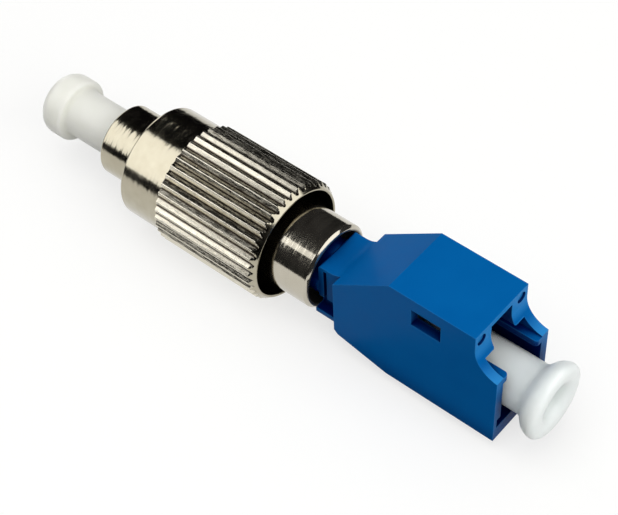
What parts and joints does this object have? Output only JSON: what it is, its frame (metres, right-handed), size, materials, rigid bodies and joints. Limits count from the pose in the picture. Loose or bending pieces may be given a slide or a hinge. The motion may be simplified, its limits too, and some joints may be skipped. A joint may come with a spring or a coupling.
{
  "type": "power meter fibre adapter",
  "caption": "Hybrid fibre adapter: knurled coupling nut and ferrule plug on one end, latching small-ferrule socket on the other, both under dust caps.",
  "frame": {"origin": "on the optical axis, 0.3 mm behind the front face of the plug barrel", "axes": "+X along the optical axis from the plug end to the socket end, +Z towards the latch side of the socket"},
  "size_m": [0.0487, 0.01, 0.0114],
  "materials": {
    "nickel_brass": "polished nickel plate on brass",
    "zirconia": "polished zirconia",
    "flange_steel": "turned stainless steel",
    "spring_steel": "drawn spring wire",
    "holder_plastic": "moulded",
    "blue_plastic": "moulded, satin",
    "clear_cap": "translucent polyethylene",
    "white_cap": "soft white polyethylene"
  },
  "bodies": {
    "adapter_body": {"plug_barrel": "nickel_brass", "rear_sleeve": "nickel_brass", "lc_sleeve_holder": "holder_plastic", "split_sleeve": "zirconia", "lc_housing": "blue_plastic", "ferrule_spring": "spring_steel"},
    "nut": {"coupling_nut": "nickel_brass"},
    "ferrules": {"ferrule_fc": "zirconia", "ferrule_lc": "zirconia", "ferrule_flange": "flange_steel"},
    "fc_cap": {"fc_dust_cap": "clear_cap"},
    "lc_cap": {"lc_dust_cap": "white_cap"}
  },
  "joints": [
    {"name": "nut_turn", "type": "hinge", "parent": "adapter_body", "child": "nut", "pos_m": [0.0099, 0, 0], "axis": [1, 0, 0], "continuous": true},
    {"name": "ferrule_float", "type": "slide", "parent": "adapter_body", "child": "ferrules", "axis": [1, 0, 0], "range_m": [0, 0.0006], "stiffness_N_per_m": 1200, "deforming": ["ferrule_spring"]},
    {"name": "fc_cap_pull", "type": "slide", "parent": "ferrules", "child": "fc_cap", "axis": [-1, 0, 0], "range_m": [0, 0.012]},
    {"name": "lc_cap_pull", "type": "slide", "parent": "adapter_body", "child": "lc_cap", "axis": [1, 0, 0], "range_m": [0, 0.014]}
  ]
}
